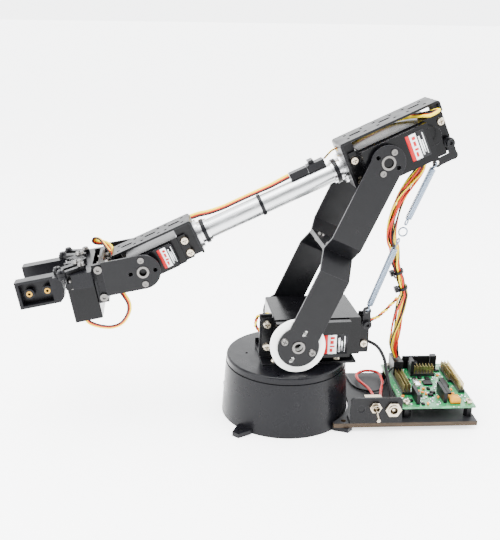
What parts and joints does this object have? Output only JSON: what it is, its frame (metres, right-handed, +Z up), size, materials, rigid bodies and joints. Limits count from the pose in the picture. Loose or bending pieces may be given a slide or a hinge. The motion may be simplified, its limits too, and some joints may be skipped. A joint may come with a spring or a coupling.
{
  "type": "desktop robot arm",
  "caption": "Servo-driven desktop robot arm: turntable base, two-link arm, tilting wrist and parallel-jaw gripper, with its controller board beside the base.",
  "frame": {"origin": "centre of the base housing's underside, on the base's turning axis", "axes": "+X the way the arm reaches, +Y the side of the servo outputs, +Z up"},
  "size_m": [0.3439, 0.1089, 0.243],
  "materials": {
    "black_plastic": "satin moulded",
    "black_anodised": "black anodised sheet",
    "servo_case": "semi-gloss moulded",
    "white_nylon": "satin nylon",
    "bright_metal": "satin machined",
    "nickel": "nickel plated",
    "zinc_spring": "bright wound wire",
    "board_green": "solder mask",
    "gold_pins": "plated pins in black strips",
    "black_board_parts": "moulded",
    "carrier_board": "black-faced fibre sheet with a brown edge",
    "lead_wire": "three-colour insulated wire",
    "power_wire": "insulated wire",
    "link_plastic": "moulded"
  },
  "bodies": {
    "base": {"base_housing": "black_plastic", "base_servo": "servo_case", "ball_ring": "bright_metal", "carrier_plate": "carrier_board", "switch_panel": "black_anodised", "toggle_switch": "nickel", "power_jack": "nickel", "standoffs": "black_board_parts", "base_screws": "nickel", "controller_board": "board_green", "board_headers": "gold_pins", "board_chips": "black_board_parts", "lead_plugs": "black_board_parts", "board_leads": "power_wire", "base_leads": "lead_wire"},
    "toggle": {"toggle_lever": "nickel"},
    "turret": {"turntable": "black_plastic", "base_horn": "white_nylon", "shoulder_bracket": "black_anodised", "shoulder_servo": "servo_case", "shoulder_screws": "nickel", "shoulder_idler": "black_plastic", "lower_spring_tab": "black_anodised", "shoulder_lead": "lead_wire", "lower_spring": "zinc_spring", "arm_bundle": "lead_wire"},
    "upper_arm": {"shoulder_horn": "white_nylon", "lower_arm_bracket": "black_anodised", "upper_arm_bracket": "black_anodised", "arm_screws": "nickel", "elbow_horn": "black_plastic", "upper_spring": "zinc_spring", "elbow_bundle": "lead_wire"},
    "forearm": {"elbow_bracket": "black_anodised", "elbow_servo": "servo_case", "elbow_screws": "nickel", "elbow_idler": "black_plastic", "upper_spring_tab": "black_anodised", "elbow_hub": "bright_metal", "forearm_tube": "bright_metal", "wrist_hub": "bright_metal", "cable_ties": "black_plastic", "forearm_lead": "lead_wire", "wrist_bracket": "black_anodised", "wrist_servo": "servo_case", "wrist_screws": "nickel", "wrist_idler": "black_plastic"},
    "gripper": {"wrist_horn": "black_plastic", "wrist_yoke": "black_anodised", "gripper_mount": "black_plastic", "gripper_servo": "servo_case", "gripper_body": "black_plastic", "gripper_screws": "nickel", "gripper_lead": "lead_wire"},
    "left_drive_link": {"left_link": "link_plastic"},
    "right_drive_link": {"right_link": "link_plastic"},
    "left_idler": {"left_idler_link": "link_plastic"},
    "right_idler": {"right_idler_link": "link_plastic"},
    "left_jaw": {"left_finger": "black_plastic"},
    "right_jaw": {"right_finger": "black_plastic"}
  },
  "joints": [
    {"name": "base_turn", "type": "hinge", "parent": "base", "child": "turret", "pos_m": [0, 0, 0.045], "axis": [0, 0, 1], "range_deg": [-90, 90], "deforming": ["base_leads"]},
    {"name": "shoulder_tilt", "type": "hinge", "parent": "turret", "child": "upper_arm", "pos_m": [-0.002, 0, 0.069], "axis": [0, 1, 0], "range_deg": [-45, 29], "deforming": ["lower_spring", "arm_bundle"]},
    {"name": "elbow_tilt", "type": "hinge", "parent": "upper_arm", "child": "forearm", "pos_m": [-0.06231, 0, 0.20196], "axis": [0, -1, 0], "range_deg": [-20, 90], "deforming": ["upper_spring", "elbow_bundle"]},
    {"name": "wrist_tilt", "type": "hinge", "parent": "forearm", "child": "gripper", "pos_m": [0.10839, 0, 0.12488], "axis": [0, 1, 0], "range_deg": [-60, 80], "deforming": ["gripper_lead"]},
    {"name": "grip_drive", "type": "hinge", "parent": "gripper", "child": "left_drive_link", "pos_m": [0.15453, 0.0106, 0.12741], "axis": [0.1736, 0, 0.9848], "range_deg": [-52, 11]},
    {"name": "right_drive", "type": "hinge", "parent": "gripper", "child": "right_drive_link", "pos_m": [0.15453, -0.0106, 0.12741], "axis": [0.1736, 0, 0.9848], "range_deg": [-11.1, 52.1]},
    {"name": "left_idle", "type": "hinge", "parent": "gripper", "child": "left_idler", "pos_m": [0.15108, 0.0196, 0.12802], "axis": [0.1736, 0, 0.9848], "range_deg": [-52.1, 11.1]},
    {"name": "right_idle", "type": "hinge", "parent": "gripper", "child": "right_idler", "pos_m": [0.15108, -0.0196, 0.12802], "axis": [0.1736, 0, 0.9848], "range_deg": [-11.1, 52.1]},
    {"name": "left_jaw_hinge", "type": "hinge", "parent": "left_drive_link", "child": "left_jaw", "pos_m": [0.16783, 0.018, 0.12506], "axis": [0.1736, 0, 0.9848], "range_deg": [-11.1, 52.1]},
    {"name": "right_jaw_hinge", "type": "hinge", "parent": "right_drive_link", "child": "right_jaw", "pos_m": [0.16783, -0.018, 0.12506], "axis": [0.1736, 0, 0.9848], "range_deg": [-52.1, 11.1]},
    {"name": "toggle_throw", "type": "hinge", "parent": "base", "child": "toggle", "pos_m": [-0.0611, 0.04694, 0.0206], "axis": [0.9979, -0.0645, 0], "range_deg": [0, 45]}
  ],
  "couplings": [
    {"joint": "right_drive", "follows": "grip_drive", "ratio": -1},
    {"joint": "left_idle", "follows": "grip_drive", "ratio": 1},
    {"joint": "right_idle", "follows": "grip_drive", "ratio": -1},
    {"joint": "left_jaw_hinge", "follows": "grip_drive", "ratio": -1},
    {"joint": "right_jaw_hinge", "follows": "grip_drive", "ratio": 1}
  ]
}
